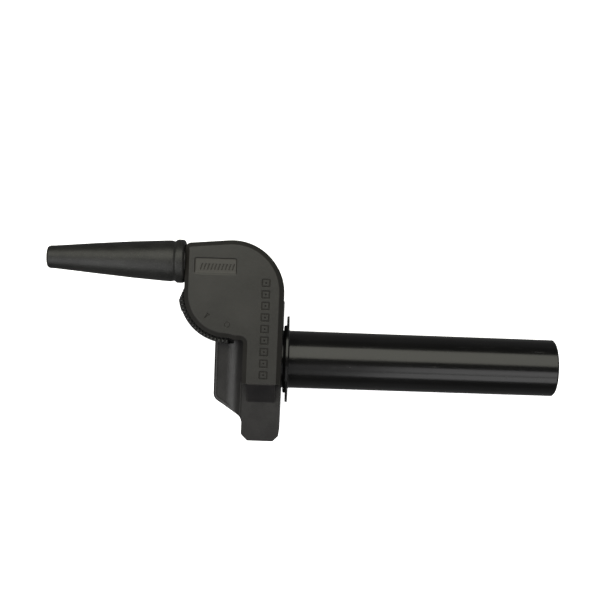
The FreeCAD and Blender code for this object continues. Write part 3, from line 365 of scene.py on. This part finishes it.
def make_materials():
    """One material for each slot in the record."""
    return {
        "cover": moulded_plastic("cover_plastic", ((0.0115, 0.011, 0.0095), (0.018, 0.017, 0.015)),
                                 roughness=(0.34, 0.44), grain=0.45, edge_wear_and_highlight=0.8, panel=NAME_PANEL),
        "housing": moulded_plastic("housing_plastic",
                                   ((0.007, 0.0065, 0.007), (0.018, 0.017, 0.017)),
                                   roughness=(0.24, 0.40), grain=1.0, edge_wear_and_highlight=0.8),
        "quadrant_plastic": moulded_plastic("quadrant_plastic",
                                            ((0.010, 0.010, 0.010), (0.016, 0.016, 0.016)),
                                            roughness=(0.35, 0.48), grain=0.4, edge_wear_and_highlight=0.7),
        "tube_plastic": gloss_black_plastic(),
        "boot_rubber": boot_rubber(),
        "seal_rubber": plain_rubber(),
        "zinc_steel": turned_metal("zinc_steel", (0.62, 0.62, 0.60), (0.22, 0.42)),
        "spring_steel": turned_metal("spring_steel", (0.22, 0.21, 0.20), (0.25, 0.45)),
        "brass": turned_metal("turned_brass", (0.72, 0.50, 0.22), (0.20, 0.35)),
        "pulley_plastic": pale_plastic("natural_acetal", (0.72, 0.70, 0.64)),
        "nylon": pale_plastic("natural_nylon", (0.74, 0.72, 0.64)),
        "fibre": pressed_fibre(),
    }


def paint_cad_nodes(materials):
    """Every CAD node takes the material of its slot in the record."""
    slots = {row["node"]: row["material_slot"] for row in frame["record"]["subparts"]}
    for name, node in frame["nodes"].items():
        node.data.materials.clear()
        node.data.materials.append(materials[slots[name]])


# ---------------------------------------------------------------- soft piece: cable boot

def lathe(name, profile, axis_y, axis_z, segments, reach):
    """Closed ring of revolution about a line parallel to X.

    The profile is a loop of (x, radius); reach gives the radius at an x, a radius and a turn.
    """
    mesh = bmesh.new()
    rings = []
    for i in range(segments):
        turn = 2 * math.pi * i / segments
        ring = []
        for x, r in profile:
            out = reach(x, r, turn)
            place = (x, axis_y + out * math.cos(turn), axis_z + out * math.sin(turn))
            ring.append(mesh.verts.new(place))
        rings.append(ring)
    count = len(profile)
    for i in range(segments):
        here, following = rings[i], rings[(i + 1) % segments]
        for j in range(count):
            k = (j + 1) % count
            mesh.faces.new((here[j], here[k], following[k], following[j]))
    bmesh.ops.recalc_face_normals(mesh, faces=mesh.faces)
    data = bpy.data.meshes.new(name)
    mesh.to_mesh(data)
    mesh.free()
    for face in data.polygons:
        face.use_smooth = True
    piece = bpy.data.objects.new(name, data)
    bpy.context.scene.collection.objects.link(piece)
    return piece


def smooth_steps(points, step):
    """Points along a broken line, about a step apart, with its knots rounded."""
    dense = []
    for (x0, r0), (x1, r1) in zip(points, points[1:]):
        count = max(1, round(math.hypot(x1 - x0, r1 - r0) / step))
        for i in range(count):
            share = i / count
            dense.append((x0 + (x1 - x0) * share, r0 + (r1 - r0) * share))
    dense.append(points[-1])
    inner = [((a[0] + 2 * b[0] + c[0]) / 4, (a[1] + 2 * b[1] + c[1]) / 4)
             for a, b, c in zip(dense, dense[1:], dense[2:])]
    return [dense[0]] + inner + [dense[-1]]


def from_x(origin, pairs):
    """Pairs of (distance, radius) in mm, measured from an x, as metres in the frame."""
    return [(origin + distance * MM, radius * MM) for distance, radius in pairs]


def uneven_radius(x, r, turn):
    """A thin mould line at either side and a slight unevenness of the rubber."""
    height, width = MOULD_LINE
    ridge = height * math.exp(-(math.sin(turn) / width) ** 2)
    sag = sum(depth * math.sin(around * turn + along * x) for depth, around, along in SAG)
    return r + ridge + sag


def make_boot(materials):
    """Soft boot in place of the CAD one, on the same axis and between the same ends."""
    low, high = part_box("cable_boot")
    tip = low.x
    base = high.x
    collar = base - BOOT_COLLAR * MM
    full = (high.y - low.y) / 2
    start = [(collar + distance * MM, full - depth * MM) for distance, depth in COLLAR_START]
    end = [(base + distance * MM, full - depth * MM) for distance, depth in COLLAR_END]
    loop = from_x(tip, BOOT_TAPER) + from_x(collar, BOOT_GROOVE) + start + end
    loop += from_x(base, BOOT_SOCKET) + from_x(tip, BOOT_HOLLOW)
    boot = lathe("rubber_boot", smooth_steps(loop, BOOT_STEP), (low.y + high.y) / 2,
                 (low.z + high.z) / 2, BOOT_SEGMENTS, uneven_radius)
    boot.data.materials.append(materials["boot_rubber"])
    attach(boot, "housing")
    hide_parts("cable_boot")


# ---------------------------------------------------------------- stage

def make_floor():
    """Pale floor, dimmer in the part's reflections than to the camera."""
    low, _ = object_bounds()
    data = bpy.data.meshes.new("floor")
    half = FLOOR_SIZE / 2
    z = low[2]
    corners = [(-half, -half, z), (half, -half, z), (half, half, z), (-half, half, z)]
    data.from_pydata(corners, [], [(0, 1, 2, 3)])
    floor = bpy.data.objects.new("floor", data)
    floor.visible_diffuse = False
    bpy.context.scene.collection.objects.link(floor)
    data.materials.append(floor_material())


def floor_material():
    """White to the camera and a dim glow to glossy rays."""
    t = Tree("pale_floor")
    tone = t.ramp(t.noise(3.0), [(0.3, FLOOR_TONES[0]), (0.7, FLOOR_TONES[1])])
    t.finish(Base_Color=tone, Roughness=0.6, Emission_Color=WHITE, Emission_Strength=FLOOR_GLOW)
    glow = t.nodes.new("ShaderNodeEmission")
    glow.inputs["Strength"].default_value = FLOOR_MIRRORED
    choice = t.nodes.new("ShaderNodeMixShader")
    t.link(t.nodes.new("ShaderNodeLightPath").outputs["Is Glossy Ray"], choice.inputs["Fac"])
    t.link(t.shader.outputs[0], choice.inputs[1])
    t.link(glow.outputs[0], choice.inputs[2])
    t.link(choice.outputs[0], t.output.inputs["Surface"])
    return t.material


def ceiling_panel(name, x_angles, y_angles, radiance, colour):
    """Level light panel over the part, between angles from the vertical towards +X and +Y."""
    x0, x1 = (PANEL_HEIGHT * math.tan(math.radians(a)) for a in x_angles)
    y0, y1 = (PANEL_HEIGHT * math.tan(math.radians(a)) for a in y_angles)
    light = bpy.data.lights.new(name, "AREA")
    light.shape = "RECTANGLE"
    light.size = x1 - x0
    light.size_y = y1 - y0
    light.energy = radiance * math.pi * light.size * light.size_y
    light.color = colour
    holder = bpy.data.objects.new(name, light)
    holder.location = ((x0 + x1) / 2, (y0 + y1) / 2, PANEL_HEIGHT)
    holder.visible_camera = False
    bpy.context.scene.collection.objects.link(holder)


def make_world():
    """White to the camera and a dim grey room to everything else."""
    world = bpy.data.worlds.new("studio")
    world.use_nodes = True
    nodes, links = world.node_tree.nodes, world.node_tree.links
    path = nodes.new("ShaderNodeLightPath")
    mix = nodes.new("ShaderNodeMix")
    mix.data_type = "RGBA"
    mix.inputs[6].default_value = (ROOM_GLOW, ROOM_GLOW, ROOM_GLOW, 1.0)
    mix.inputs[7].default_value = (*WHITE, 1.0)
    links.new(path.outputs["Is Camera Ray"], mix.inputs["Factor"])
    links.new(mix.outputs[2], nodes["Background"].inputs["Color"])
    bpy.context.scene.world = world


def make_camera():
    """Camera straight above the part, turned a little about its own axis."""
    lens = bpy.data.cameras.new("camera")
    lens.lens = LENS_MM
    lens.clip_start = CAMERA_NEAR
    camera = bpy.data.objects.new("camera", lens)
    camera.location = (CAMERA_X, CAMERA_Y, CAMERA_HEIGHT)
    camera.rotation_euler = (0, 0, CAMERA_TURN)
    bpy.context.scene.collection.objects.link(camera)
    bpy.context.scene.camera = camera


def make_stage():
    make_floor()
    make_world()
    make_camera()
    for panel in LIGHT_PANELS:
        ceiling_panel(*panel)
    bpy.context.scene.view_settings.view_transform = "Standard"


# ---------------------------------------------------------------- build

materials = make_materials()
paint_cad_nodes(materials)
make_boot(materials)
make_stage()
